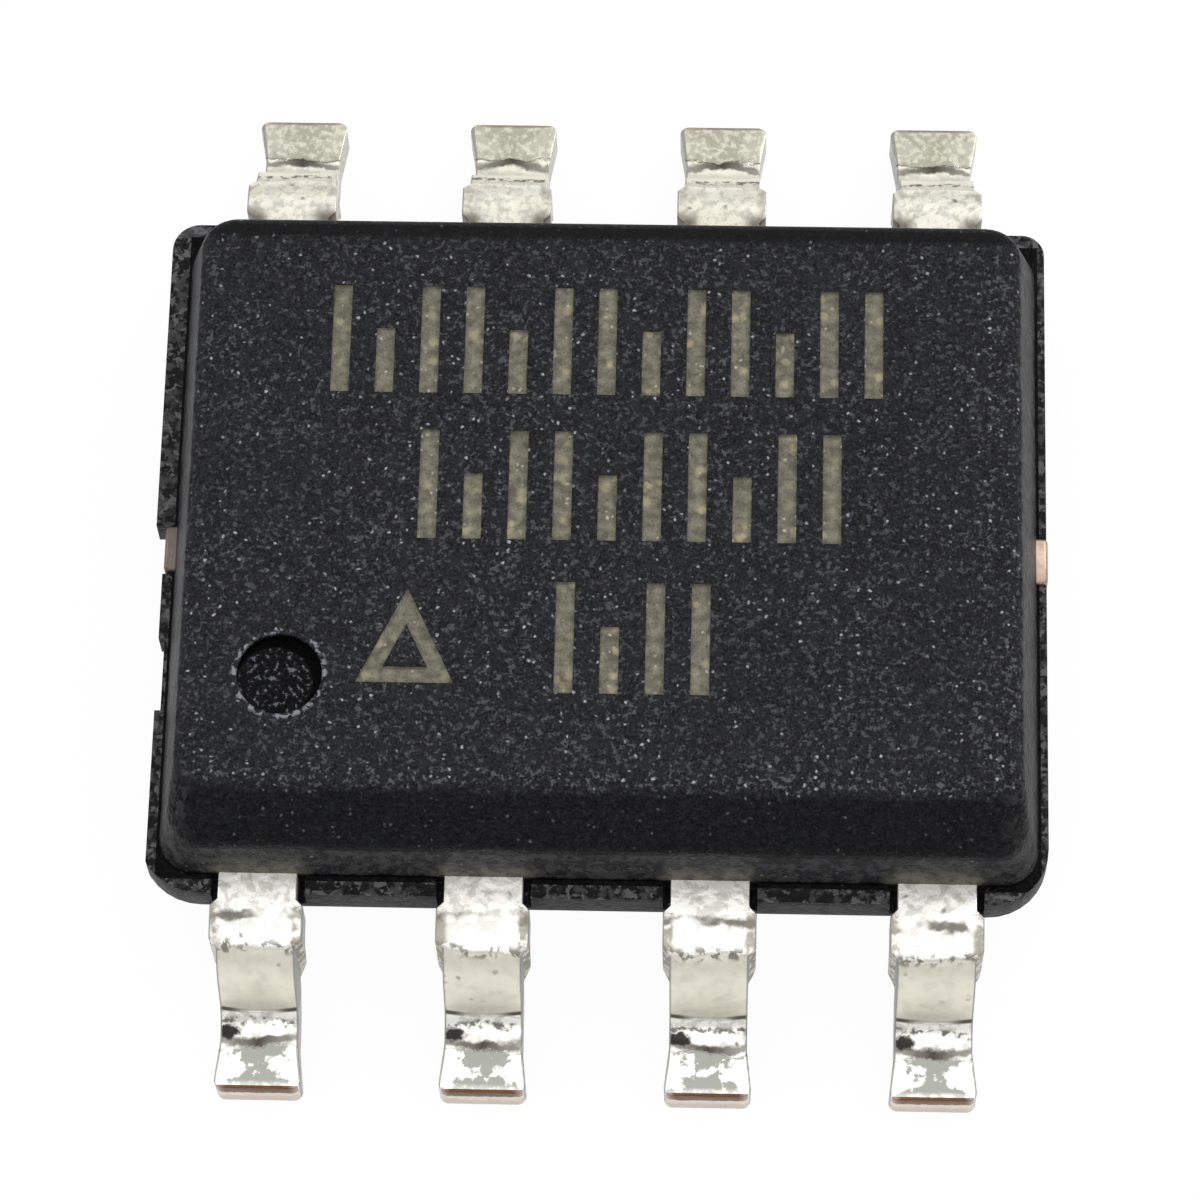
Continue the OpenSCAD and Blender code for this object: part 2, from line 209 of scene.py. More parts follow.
class ChipView(bpy.types.PropertyGroup):
    """The camera that looks down on the front side."""
    azimuth: FloatProperty(name="Azimuth", description="Turn of the camera about the part",
                           default=math.radians(4.496), unit="ROTATION")
    elevation: FloatProperty(name="Elevation", description="Height of the camera over the board plane",
                             default=math.radians(68.0), unit="ROTATION")
    roll: FloatProperty(name="Roll", description="Tilt of the camera about its own axis",
                        default=math.radians(-3.293), unit="ROTATION")
    distance: FloatProperty(name="Distance", description="From the camera to the point it looks at",
                            default=30.391 * MM, unit="LENGTH")
    target: FloatVectorProperty(name="Target", description="Point that the camera looks at",
                                default=(-0.104 * MM, -0.386 * MM, 0.8 * MM), subtype="XYZ")
    lens: FloatProperty(name="Lens", description="Focal length for a 36 mm sensor",
                        default=159.45, unit="CAMERA")
    shift: FloatVectorProperty(name="Shift", description="Offset of the frame from the lens axis",
                               size=2, default=(0.0163, 0.0146))


# ---------------------------------------------------------------- shader maths

class Wire:
    """An output socket that takes part in Python expressions on values."""

    def __init__(self, shader, socket):
        self.shader = shader
        self.socket = socket

    def _maths(self, operation, *values):
        return self.shader.node("ShaderNodeMath", {"operation": operation}, dict(enumerate(values)))

    def __add__(self, other):
        return self._maths("ADD", self, other)

    def __radd__(self, other):
        return self._maths("ADD", other, self)

    def __sub__(self, other):
        return self._maths("SUBTRACT", self, other)

    def __rsub__(self, other):
        return self._maths("SUBTRACT", other, self)

    def __mul__(self, other):
        return self._maths("MULTIPLY", self, other)

    def __rmul__(self, other):
        return self._maths("MULTIPLY", other, self)

    def __truediv__(self, other):
        return self._maths("DIVIDE", self, other)

    def __gt__(self, other):
        return self._maths("GREATER_THAN", self, other)

    def __lt__(self, other):
        return self._maths("LESS_THAN", self, other)

    def __abs__(self):
        return self._maths("ABSOLUTE", self)

    def lowest(self, other):
        return self._maths("MINIMUM", self, other)

    def highest(self, other):
        return self._maths("MAXIMUM", self, other)

    def power(self, other):
        return self._maths("POWER", self, other)

    def wrapped(self, start, pitch):
        """Signed distance from the nearest of the places start, start + pitch, ..."""
        return self._maths("WRAP", self - start, pitch / 2, -pitch / 2)

    def beside(self, start, pitch):
        """Distance from the nearest of the places start, start + pitch, ..."""
        return abs(self.wrapped(start, pitch))

    def near(self, place, width):
        """1 at and close to a place, and 0 from a width away on."""
        return 1 - abs(self - place).step(CORE * width, width)

    def step(self, low, high):
        """0 below low, 1 above high, and smooth between."""
        return self.shader.node("ShaderNodeMapRange", {"interpolation_type": "SMOOTHSTEP"},
                                {"Value": self, "From Min": low, "From Max": high})


class Shader:
    """A material under construction, with one method for every kind of node."""

    def __init__(self, name):
        self.material = bpy.data.materials.new(name)
        self.material.use_nodes = True
        self.tree = self.material.node_tree
        self.tree.nodes.clear()
        self.surface = self.tree.nodes.new("ShaderNodeBsdfPrincipled")
        self.output = self.tree.nodes.new("ShaderNodeOutputMaterial")
        self.tree.links.new(self.surface.outputs[0], self.output.inputs["Surface"])

    def plug(self, socket, value):
        """Links a wire to a socket, or sets the socket to a number, a colour or a vector."""
        if isinstance(value, Wire):
            self.tree.links.new(value.socket, socket)
        elif socket.type == "RGBA" and len(value) == 3:
            socket.default_value = (*value, 1.0)
        else:
            socket.default_value = value

    def node(self, kind, settings=None, values=None, output=0):
        """Adds a node with its settings and the values or links of its sockets."""
        new = self.tree.nodes.new(kind)
        for key, value in (settings or {}).items():
            setattr(new, key, value)
        for key, value in (values or {}).items():
            self.plug(new.inputs[key], value)
        return Wire(self, new.outputs[output])

    @functools.cached_property
    def where(self):
        """Object coordinates in millimetres."""
        place = self.node("ShaderNodeTexCoord", output="Object")
        return self.node("ShaderNodeVectorMath", {"operation": "SCALE"}, {0: place, "Scale": 1 / MM})

    def axes(self):
        """The x, y and z of the place."""
        split = self.node("ShaderNodeSeparateXYZ", None, {0: self.where}).socket.node
        return [Wire(self, socket) for socket in split.outputs]

    def noise(self, scale, detail=2.0, roughness=0.5, distortion=0.0):
        return self.node("ShaderNodeTexNoise", None, {
            "Vector": self.where, "Scale": scale, "Detail": detail, "Roughness": roughness,
            "Distortion": distortion})

    def cells(self, where, scale, output="Distance"):
        return self.node("ShaderNodeTexVoronoi", None, {"Vector": where, "Scale": scale}, output)

    def warp(self, scale, reach):
        """Place shifted by up to half of reach, so that cells lose their straight sides."""
        noise = self.node("ShaderNodeTexNoise", None, {"Vector": self.where, "Scale": scale}, "Color")
        shift = self.node("ShaderNodeVectorMath", {"operation": "SCALE"}, {0: noise, "Scale": reach})
        return self.node("ShaderNodeVectorMath", {"operation": "ADD"}, {0: self.where, 1: shift})

    def flecks(self, warp_scale, reach, scale, rarity, radius):
        """Small specks of random strength in some of the cells of a warped pattern."""
        where = self.warp(warp_scale, reach)
        chance = self.node("ShaderNodeSeparateColor", None, {0: self.cells(where, scale, "Color")})
        return (1 - self.cells(where, scale).step(CORE * radius, radius)) * chance.step(rarity, 1.0)

    def mix(self, factor, low, high):
        """A colour between two others. The node's colour inputs are 6 and 7, and its result is output 2."""
        return self.node("ShaderNodeMix", {"data_type": "RGBA"}, {0: factor, 6: low, 7: high}, 2)

    def coat(self, mask, colour):
        """Covers the colour so far with another one where a mask is above 0."""
        self.colour = self.mix(mask, self.colour, colour)

    def bump(self, height, distance, strength):
        return self.node("ShaderNodeBump", None, {
            "Height": height, "Distance": distance, "Strength": strength})

    def finish(self, **sockets):
        """Plugs values into the surface's sockets, with base_color for Base Color and so on."""
        for key, value in sockets.items():
            self.plug(self.surface.inputs[key.replace("_", " ").title()], value)
        return self.material


def colours():
    return bpy.context.scene.chip_colours


def sizes():
    return bpy.context.scene.chip_sizes


def mm(length):
    """A length in metres as millimetres, for patterns on the shader's place."""
    return length / MM


def shade(colour, factor):
    """A colour made darker or paler."""
    return [value * factor for value in colour]


class Resin(Shader):
    """Filled moulding resin, coated layer by layer. All its lengths are in millimetres."""
    SKIN_START, SKIN_FULL = 0.05, 0.012         # depths at which the top's rough skin starts and is full
    CREST_WIDTH = 0.10                          # reach of the painted highlight of extra flecks beside the chamfer's crest
    RIGHT_IN, RIGHT_WIDTH = 0.25, 0.22          # painted highlight of extra flecks along the right edge of the top
    REAR_START, REAR_FULL = 0.5, 0.25           # strip along the rear with fewer flecks
    BRINK_IN, BRINK_WIDTH = 0.30, 0.07          # dark line where the top ends at the rear
    END_START, END_FULL = 0.34, 0.24            # walls at the case's ends
    FRONT_IN = 0.27                             # front wall, from the flash's edge and from the top
    WALL_FOOT, CREASE_FOOT = 0.02, 0.06         # walls start over the flash, the crease under its top
    CREASE_LOW, CREASE_HIGH = 0.03, 0.08        # upper limit of the painted shade in the crease over the flash
    CREASE_SIDE, CREASE_END = 0.08, 0.07        # the crease keeps clear of the flash's outline
    RIM_OUT, RIM_WIDTH = 0.015, 0.026           # painted highlight on the rim round the dimple
    LEE_SHIFT = 0.03                            # painted shadow in the dimple, off to its rear and right
    LEE_START, LEE_FULL = 0.05, 0.02
    CHAMFER_DEPTH, CHAMFER_Y = 0.3, -1.0        # the chamfer, which gets painted shade, lies above and in front of these
    SLACK = 0.01                                # in a test for one flat face or edge
    SHEAR_IN = 0.012                            # from the flash's edge to its sheared face
    BLEED_LOW, BLEED_HIGH = 0.03, 0.17          # bleed over the roots, up from the leads
    BLEED_NEAR, BLEED_FAR = 0.2, 0.34           # and out from the middle of a lead
    BLEED_IN = 0.3
    FIELD_END, FIELD_SIDE = 0.5, 0.55           # margins of the part of the top that holds marks
    DIMPLE_MARGIN = 0.04

    def __init__(self):
        super().__init__("speckled_resin")
        self.x, self.y, self.z = self.axes()
        self.out_x = abs(self.x - mm(MIDDLE_X))
        self.out_y = abs(self.y)
        self.end_x, self.end_y, self.top = (mm(value) for value in CASE_HIGH)
        self.ledge = mm(FRAME_HIGH.z - sizes().flash_drop)
        self.mark_depth = mm(sizes().mark_depth)
        self.dimple_r = mm(sizes().dimple_r)
        self.aside = self.from_dimple(0.0)
        self.fine = self.noise(scale=60.0, detail=3.0, roughness=0.7)
        self.grains = self.noise(scale=34.0, roughness=0.6)
        self.chips = self.noise(scale=21.0, roughness=0.6, distortion=0.4)
        self.grit = self.noise(scale=15.0, detail=3.0, roughness=0.6)
        self.patches = self.noise(scale=8.0, detail=4.0, roughness=0.7)
        self.glints = self.flecks(warp_scale=30.0, reach=0.03, scale=31.0, rarity=0.82, radius=0.38)
        # the top is eroded, so it is rougher than the drawn walls and the chamfer
        self.eroded = self.z.step(self.top - self.SKIN_START, self.top - self.SKIN_FULL)
        self.wall = (self.z > self.ledge + self.WALL_FOOT) * (1 - self.eroded)
        self.end = self.out_x.step(self.end_x - self.END_START, self.end_x - self.END_FULL)
        self.wall_patches = self.patches.step(0.44, 0.60)
        rise = (self.z + 0.05 * self.grit).step(self.ledge + self.CREASE_LOW, self.ledge + self.CREASE_HIGH)
        clear = (self.out_y < self.end_y - self.CREASE_SIDE) * (self.out_x < self.end_x - self.CREASE_END)
        self.crease = (self.z > self.ledge - self.CREASE_FOOT) * (1 - rise) * clear

    def from_dimple(self, shift):
        """Distance from a point that lies a shift to the left and to the front of the dimple's middle."""
        middle = sizes().dimple
        left = mm(MIDDLE_X + middle[0]) - shift
        front = mm(middle[1]) - shift
        return ((self.x - left).power(2) + (self.y - front).power(2)).power(0.5)

    def build(self):
        self.coat_body()
        self.coat_walls()
        self.coat_dimple()
        self.coat_flash()
        self.coat_bleed()
        self.coat_marks()
        rough = 0.36 + 0.14 * self.fine + 0.14 * self.eroded + 0.2 * self.burnt
        height = self.fine * 0.5 + self.grains * 0.8 + self.grit * 1.1
        height = height + self.patches * self.wall * (1 + 2.5 * self.end)
        self.surface.inputs["Specular IOR Level"].default_value = 0.12
        # the painted shade also raises the metallic, which darkens the resin further
        return self.finish(base_color=self.colour, roughness=rough, metallic=self.painted_shade * 0.85,
                           normal=self.bump(height, distance=0.012 * MM, strength=0.8))

    def coat_body(self):
        """Grain and mineral flecks, fewer at the rear, with more as a painted highlight by the crest and
        right edge.
        """
        c = colours()
        broad = self.noise(scale=1.3, detail=3.0)
        # the crest and the right edge get extra flecks as a painted highlight of their rounded edges
        crest = self.y.near(mm(sizes().crest) - self.end_y, self.CREST_WIDTH) * self.eroded
        right = self.x.near(self.end_x - self.RIGHT_IN, self.RIGHT_WIDTH) * self.eroded
        rear = self.y.step(self.end_y - self.REAR_START, self.end_y - self.REAR_FULL)
        fleck_and_highlight = 0.50 + 0.2 * broad.step(0.35, 0.6) + 0.45 * crest + 0.3 * right
        fleck_and_highlight = fleck_and_highlight * (0.3 + 0.7 * self.eroded) * (1 - 0.6 * rear)
        self.colour = self.mix(self.fine.step(0.36, 0.66), shade(c.resin, 0.15), shade(c.resin, 1.8))
        self.coat(self.grit.step(0.42, 0.70) * 0.4, shade(c.resin, 2.0))
        self.coat(self.grains.step(0.54, 0.67) * fleck_and_highlight, shade(c.filler, 0.40))
        self.coat(self.chips.step(0.62, 0.72) * fleck_and_highlight * 0.5, shade(c.filler, 0.50))
        # painted glints: the brightest flecks
        self.coat((self.glints * (fleck_and_highlight + 0.3)).lowest(1.0), shade(c.filler, 1.7))

    def coat_walls(self):
        """A dark line at the rear of the top, end walls with patches of painted highlight, and a mottled
        front wall.
        """
        c = colours()
        brink = self.y.near(self.end_y - self.BRINK_IN, self.BRINK_WIDTH)
        self.coat(brink * (self.z > self.top - self.SKIN_START) * 0.85, shade(c.resin, 0.12))
        # painted highlight: pale patches that mottle the end walls' reflection, with painted shade between
        # them
        highlight_patches = (self.wall_patches * 0.35).highest(self.grit.step(0.50, 0.62) * 0.55)
        self.coat(self.end * self.wall * highlight_patches, shade(c.flash, 1.8))
        front = (self.y < self.FRONT_IN - self.end_y) * (self.z < self.top - self.FRONT_IN) * self.wall
        self.coat(front * (0.25 + 0.75 * self.grit.step(0.46, 0.58)), shade(c.flash, 0.9))

    def coat_dimple(self):
        """Painted highlight on the dimple's rim; painted shade on its floor, the crease, the chamfer and
        end walls.
        """
        c = colours()
        # painted highlight on the dimple's rim
        rim = 1 - abs(self.aside - self.dimple_r - self.RIM_OUT).step(0.0, self.RIM_WIDTH)
        rim = rim * (self.z > self.top - 0.5 * self.mark_depth)
        self.coat(rim * self.chips.step(0.50, 0.60) * 0.9, shade(c.filler, 1.15))
        hollow = (self.aside < self.dimple_r + self.SLACK) * (self.z < self.top - 1.5 * self.mark_depth)
        # painted shadow inside the dimple, off to its rear and right
        dimple_shadow = self.from_dimple(self.LEE_SHIFT)
        dimple_shadow = dimple_shadow.step(self.dimple_r - self.LEE_START, self.dimple_r - self.LEE_FULL)
        chamfer = (1 - self.eroded) * (self.z > self.top - self.CHAMFER_DEPTH) * (self.y < self.CHAMFER_Y)
        # painted shade: the dimple's floor and its shadow, the crease over the flash, the chamfer, and the
        # end walls between pale patches
        painted_shade = hollow * (0.75 - self.grains.step(0.50, 0.60) * 0.75).highest(dimple_shadow)
        painted_shade = painted_shade.highest(self.crease * 0.85).highest(chamfer * 0.5)
        self.painted_shade = painted_shade.highest(self.end * self.wall * (1 - self.wall_patches) * 0.3)
        self.coat(self.painted_shade, shade(c.resin, 0.12))
        self.coat(hollow * (1 - dimple_shadow) * self.grains.step(0.58, 0.66), shade(c.filler, 0.5))

    def coat_flash(self):
        """The flash was sheared, so its upright edge is paler, and its flat is worn in spots."""
        c = colours()
        level = self.z.near(self.ledge - 0.5 * mm(LEAD_T), 0.6 * mm(LEAD_T))
        sheared = (self.out_y > self.end_y - self.SHEAR_IN) * level
        self.coat(sheared * (0.3 + 0.6 * self.grit.step(0.35, 0.6)), c.flash)
        flat = (self.z < self.ledge + self.SLACK) * (self.z > self.ledge - self.SLACK) * (1 - self.crease)
        self.coat(flat, self.mix(self.grit.step(0.46, 0.60), shade(c.resin, 0.3), c.flash))
        self.coat(flat * self.chips.step(0.54, 0.62) * 0.9, shade(c.flash, 2.3))

    def coat_bleed(self):
        """A tan bleed of resin over the leads' roots."""
        lead_top = mm(LEAD_TOP)
        height = (1 - self.z.step(lead_top + self.BLEED_LOW, lead_top + self.BLEED_HIGH))
        height = height * (self.z > lead_top - self.SLACK)
        beside = 1 - self.x.beside(mm(LEAD_X), mm(PITCH)).step(self.BLEED_NEAR, self.BLEED_FAR)
        root = height * beside * (self.out_y > self.end_y - self.BLEED_IN)
        self.coat(root * (0.25 + 0.7 * self.grit.step(0.35, 0.6)), colours().bleed)

    def coat_marks(self):
        """Burnt grains on the floors of the laser marks."""
        c = colours()
        floor = (self.z < self.top - 0.25 * self.mark_depth) * (self.z > self.top - 1.5 * self.mark_depth)
        field = (self.out_x < self.end_x - self.FIELD_END) * (self.out_y < self.end_y - self.FIELD_SIDE)
        self.burnt = floor * field * (self.aside > self.dimple_r + self.DIMPLE_MARGIN)
        char = self.noise(scale=17.0, detail=4.0, roughness=0.7)
        beads = self.flecks(warp_scale=14.0, reach=0.06, scale=13.0, rarity=0.35, radius=0.55)
        tan = [value * factor for value, factor in zip(c.mark, (1.9, 1.75, 1.45))]
        mark = self.mix(char.step(0.36, 0.62), shade(c.mark, 0.5), c.mark)
        mark = self.mix(self.grains.step(0.55, 0.66) * 0.6, mark, shade(c.mark, 0.35))
        mark = self.mix(beads * 0.8, mark, tan)
        mark = self.mix(self.glints.highest(char.step(0.62, 0.70) * 0.6), mark, shade(c.mark, 2.1))
        self.coat(self.burnt, mark)


class Plating(Shader):
    """Matt tin over copper on the bent leads, coated layer by layer. All its lengths are in millimetres."""
    CLOUD_RIPPLE, GRAIN_RIPPLE = 0.13, 0.05     # waviness of the bands across a lead
    ROLL, TUMBLE = 0.012, 0.015                 # half widths of the drop's lower and upper limits
    FOOT_START, FOOT_FULL = 0.01, 0.03          # how far in front of its seam the foot starts
    LIP_FULL, LIP_END = 0.02, 0.05              # painted highlight on a lip behind the toe
    LOW_START, LOW_END = 0.03, 0.16             # dark shading over the drop's lower end
    HIGH_START, HIGH_END = 0.20, 0.02           # and under its upper end
    CURL = 0.10                                 # the seams at the foot curl up at their ends
    PIT_SIDE, PIT_BACK, PIT_SQUEEZE = 0.76, 0.34, 1.6   # dark pit at the left of each front bend
    PIT_CORE, PIT_EDGE, PIT_GRAIN = 0.045, 0.080, 0.10
    STUB_START, STUB_FULL, STUB_LENGTH = 0.075, 0.045, 0.06
    FLANK_START, FLANK_FULL = 0.013, 0.004      # the side faces, with the edges rolled over them, which get painted shade
    SHOULDER_FLANK = 0.012
    TORN_OUT = 0.006                            # torn face under the stub, beyond the lead's side
    CUT_IN = 0.016                              # from the toe's end to where its cut face starts
    CUT_GRAIN = 0.04
    ROOT_FULL, ROOT_END = 0.04, 0.14            # painted shade on the roots, out from the flash
    SCORCH_START, SCORCH_FULL = 0.16, 0.07

    def __init__(self):
        super().__init__("tin_plating")
        b = self.bands = bpy.context.scene.chip_bands
        x, y, self.z = self.axes()
        self.lean = x.wrapped(mm(LEAD_X), mm(PITCH))
        self.across = abs(self.lean)
        self.out = abs(y)
        self.rear = y > 0
        self.front = 1 - self.rear
        self.toe = mm(TOE_Y)
        self.thick = mm(LEAD_T)
        self.stub_half = mm(STUB_HALF_W)
        neck, toe_half, flare = mm(sizes().lead_half), mm(sizes().foot_half), mm(sizes().flare)
        self.reach = neck + (toe_half - neck) * (self.out - self.toe + flare).step(0.0, flare)
        self.grain = self.noise(scale=26.0, detail=3.0, roughness=0.6)
        self.blotch = self.noise(scale=13.0, detail=3.0, roughness=0.6, distortion=0.3)
        self.cloud = self.noise(scale=4.5)
        self.lumps = self.noise(scale=11.0, detail=1.0)
        # distance back from the toe, along the foot, up the drop and along the shoulder
        self.back = (self.toe - self.thick) - (self.out - self.z)
        ripple = (self.cloud - 0.5) * self.CLOUD_RIPPLE + (self.grain - 0.5) * self.GRAIN_RIPPLE
        self.waved = self.back + ripple
        rolled = self.back.step(mm(b.drop_end) - self.ROLL, mm(b.drop_end) + self.ROLL)
        self.tumbled = self.waved.step(mm(b.drop_start) - self.TUMBLE, mm(b.drop_start) + self.TUMBLE)
        self.smooth = rolled * (1 - self.tumbled)
        foot_seam = mm(b.foot_seam)
        self.foot = 1 - self.waved.step(foot_seam - self.FOOT_FULL, foot_seam - self.FOOT_START)
        # 0 in the middle of the lead or of the foot, 1 at its sides or ends
        self.side = self.across / self.reach
        self.length = abs(self.back - 0.5 * foot_seam) / (0.5 * foot_seam)

    def build(self):
        self.coat_tumbled()
        self.coat_foot()
        self.coat_drop()
        self.coat_seams()
        self.coat_sides()
        self.coat_toe()
        rough = 0.20 + 0.18 * self.blotch + 0.12 * self.smooth
        swell = self.lumps * (1.0 - 0.85 * self.smooth) + self.grain * (0.25 - 0.1 * self.smooth)
        swell = swell + 0.3 * self.blotch * (1 - self.smooth)
        swell = swell - self.side.highest(self.length) * self.foot * 1.5
        # matt plating scatters part of the light, bare copper and the pressed foot don't
        return self.finish(base_color=self.colour, roughness=rough,
                           metallic=0.45 + 0.55 * self.foot.highest(self.cut),
                           normal=self.bump(swell, distance=0.009 * MM, strength=0.7))

    def coat_tumbled(self):
        """Blotchy tin with a darker, warmer painted shade on the rear leads, whose shoulders are mottled.
        """
        c = colours()
        bend = self.tumbled * (self.waved < mm(self.bands.shoulder_seam))
        # painted shade: the rear leads get a darker, warmer copy of the tin
        rear_shade = self.rear * (0.6 + 0.4 * self.cloud.step(0.4, 0.6))
        bright = self.mix(rear_shade, c.tin, shade(c.drawn, 0.97))
        self.colour = self.mix(self.blotch.step(0.50, 0.58) * (0.75 - 0.2 * bend), bright, c.tin_shade)
        mottled = self.rear * self.tumbled * self.grain.step(0.50, 0.60)
        self.coat(mottled * 0.5, shade(c.drawn, 0.55))

    def coat_foot(self):
        """The foot is pressed to a shallow cushion whose facets get a painted reflection; rear feet get
        painted shade.
        """
        c = colours()
        # painted reflection of the cushion's facets: grey at the ends, pale at the sides and on a lip
        # behind the toe
        facet = self.side - self.length * 0.75 - 0.16 + (self.blotch - 0.5) * 2.2
        lip = (1 - self.back.step(self.LIP_FULL, self.LIP_END)) * (0.4 + 0.6 * self.grain.step(0.45, 0.6))
        cushion = self.mix(facet.step(-0.10, 0.10).highest(lip), c.pressed, c.tin)
        # painted shade: the rear feet get a darker copy of the plating
        rear_foot_shade = self.mix(self.grain.step(0.47, 0.60), c.rear_foot, shade(c.rear_foot, 1.5))
        self.coat(self.foot, self.mix(self.rear * 0.85, cushion, rear_foot_shade))

    def coat_drop(self):
        """The smooth drop darkens towards both of its ends and has a few pits."""
        c = colours()
        drop_end, drop_start = mm(self.bands.drop_end), mm(self.bands.drop_start)
        low = 1 - self.back.step(drop_end + self.LOW_START, drop_end + self.LOW_END)
        high = self.waved.step(drop_start - self.HIGH_START, drop_start - self.HIGH_END)
        # painted shade towards both ends of the drop, with darker lumps
        worn = low.highest(high).highest(self.lumps.step(0.46, 0.70) * 0.5)
        drop = self.mix(worn * (0.35 + 0.65 * self.grain), c.drawn, shade(c.drawn, 0.62))
        self.coat(self.smooth * 0.92, drop)
        spots = self.flecks(warp_scale=14.0, reach=0.05, scale=14.0, rarity=0.80, radius=0.30)
        self.coat(spots * (0.8 - 0.2 * self.smooth) * (1 - self.foot), c.scale)

    def coat_seams(self):
        """Dark seams where the bends begin and end, and a pit in each front bend."""
        c = colours()
        b = self.bands
        curl = self.CURL * self.side * self.side
        shoulder = self.cloud.step(0.42, 0.54) * 0.85 * self.front
        tumble = self.blotch.step(0.50, 0.58) * 0.7 * self.front
        rear_tumble = self.grain.step(0.46, 0.58) * 0.9 * self.rear
        bend = self.grain.step(0.44, 0.60) * 0.85 * self.front
        for place, width, strength in (
                (self.waved - mm(b.shoulder_seam), 0.042, shoulder),
                (self.waved - mm(b.drop_start), 0.070, tumble),
                (self.back - curl * 0.3 - mm(b.drop_end), 0.030, 0.25 + 0.7 * self.side.step(0.3, 0.8)),
                (self.waved - mm(b.bend_seam) - 0.02, 0.050, bend),
                (self.waved - mm(b.drop_start) + 0.07, 0.050, rear_tumble),
                (self.waved - curl * 0.5 - mm(b.foot_seam), 0.042, 1.0 - 0.35 * self.side)):
            self.coat(place.near(0.0, width) * strength, shade(c.scale, 0.5))
        left = self.lean + self.reach * self.PIT_SIDE
        pit = (left.power(2) + (self.back - self.PIT_BACK).power(2) * self.PIT_SQUEEZE).power(0.5)
        pit = 1 - (pit + (self.grain - 0.5) * self.PIT_GRAIN).step(self.PIT_CORE, self.PIT_EDGE)
        self.coat(pit * self.front, shade(c.scale, 0.12))

    def coat_sides(self):
        """The cut dam bar by the shoulder is olive. The side faces get painted shade, bar the lit ones of
        the rear leads.
        """
        c = colours()
        half = self.stub_half
        stub = self.across.step(half - self.STUB_START, half - self.STUB_FULL) * self.tumbled
        stub = stub * (self.waved < mm(self.bands.shoulder_seam) + self.STUB_LENGTH)
        self.coat(stub * (0.15 + 0.6 * self.blotch.step(0.38, 0.55)) * (1 - 0.6 * self.rear), c.stub)
        # painted shade on the side faces and the shoulder's sides, but not on the lit right sides of the
        # rear leads
        side_shade = (self.across - self.reach).step(-self.FLANK_START, -self.FLANK_FULL) * (1 - self.tumbled)
        upper = self.across.step(half - self.SHOULDER_FLANK, half - self.FLANK_FULL) * self.tumbled
        lit = self.rear * (self.lean > 0.0)
        self.coat(side_shade.highest(upper) * 0.92 * (1 - lit), c.edge)
        torn = (self.across > self.reach + self.TORN_OUT) * (1 - self.tumbled)
        self.coat(torn * self.front, self.mix(self.blotch.step(0.45, 0.55), c.stub, c.tin_shade))

    def coat_toe(self):
        """The cut toe has a copper band over smeared tin, and painted shade darkens the rear leads' root
        corners.
        """
        c = colours()
        self.cut = self.out > self.toe - self.CUT_IN
        height = self.z + (self.grain - 0.5) * self.CUT_GRAIN
        band = height.step(self.thick * 0.58, self.thick * 0.66) * (1 - 0.5 * self.rear)
        bare = self.mix(self.side.step(0.7, 1.0) * 0.5, c.copper, c.smear)
        self.coat(self.cut, self.mix(band, c.smear, bare))
        # painted shade in the corners where the rear leads meet the case
        root = 1 - (self.out - mm(CASE_HIGH.y)).step(self.ROOT_FULL, self.ROOT_END)
        corner = self.across.step(self.stub_half - self.SCORCH_START, self.stub_half - self.SCORCH_FULL)
        self.coat(root * corner * self.rear * 0.9, c.scale)


def metal_material(name, colour, roughness, scale, duller=0.0):
    """A plain metal with drawn or sheared grain, and painted shade at the end with lead 1."""
    s = Shader(name)
    grain = s.noise(scale=scale, detail=4.0, roughness=0.6)
    s.colour = s.mix(grain.step(0.3, 0.7), shade(colour, 0.75), colour)
    # painted shade at the end with lead 1
    s.coat((s.axes()[0] < 0.0) * duller, colours().shaded_end)
    s.surface.inputs["Metallic"].default_value = 1.0
    return s.finish(base_color=s.colour, roughness=roughness + 0.1 * grain,
                    normal=s.bump(grain, distance=0.004 * MM, strength=0.4))


def die_material():
    """Polished silicon with faint blocks of circuitry in its colour."""
    c = colours()
    s = Shader("silicon_blocks")
    blocks = s.node("ShaderNodeTexBrick", None, {
        "Vector": s.where, "Scale": 5.0, "Mortar Size": 0.03, "Color1": c.die_blue, "Color2": c.die_violet,
        "Mortar": c.die_lines})
    return s.finish(base_color=blocks, roughness=0.22)


def adhesive_material():
    """Silver-filled adhesive."""
    c = colours()
    s = Shader("silver_adhesive")
    grain = s.noise(scale=40.0, detail=3.0)
    return s.finish(base_color=s.mix(grain, shade(c.adhesive, 0.6), c.adhesive), roughness=0.55)


# ---------------------------------------------------------------- modelling helpers

def select_only(piece):
    bpy.ops.object.select_all(action="DESELECT")
    piece.select_set(True)
    bpy.context.view_layer.objects.active = piece


def dress(node, name, material, edge, angle):
    """A welded copy of a CAD node with softened edges, which is shown in its place."""
    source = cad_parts[node]
    piece = bpy.data.objects.new(name, source.data.copy())
    bpy.context.scene.collection.objects.link(piece)
    select_only(piece)
    bpy.ops.object.mode_set(mode="EDIT")
    bpy.ops.mesh.select_all(action="SELECT")
    bpy.ops.mesh.remove_doubles(threshold=WELD)
    bpy.ops.mesh.dissolve_limited(angle_limit=FLAT_ANGLE)
    bpy.ops.object.mode_set(mode="OBJECT")
    soften = piece.modifiers.new("soft edges", "BEVEL")
    soften.width = edge
    soften.segments = sizes().edge_segments
    soften.limit_method = "ANGLE"
    soften.angle_limit = angle
    bpy.ops.object.modifier_apply(modifier=soften.name)
    bpy.ops.object.shade_smooth_by_angle(angle=SMOOTH_ANGLE)
    piece.data.materials.clear()
    piece.data.materials.append(material)
    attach(piece, BODY)
    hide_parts(node)


def finish_node(node, material):
    """Gives a CAD node that is shown as it is its material."""
    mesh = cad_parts[node].data
    mesh.materials.clear()
    mesh.materials.append(material)


# ---------------------------------------------------------------- operators

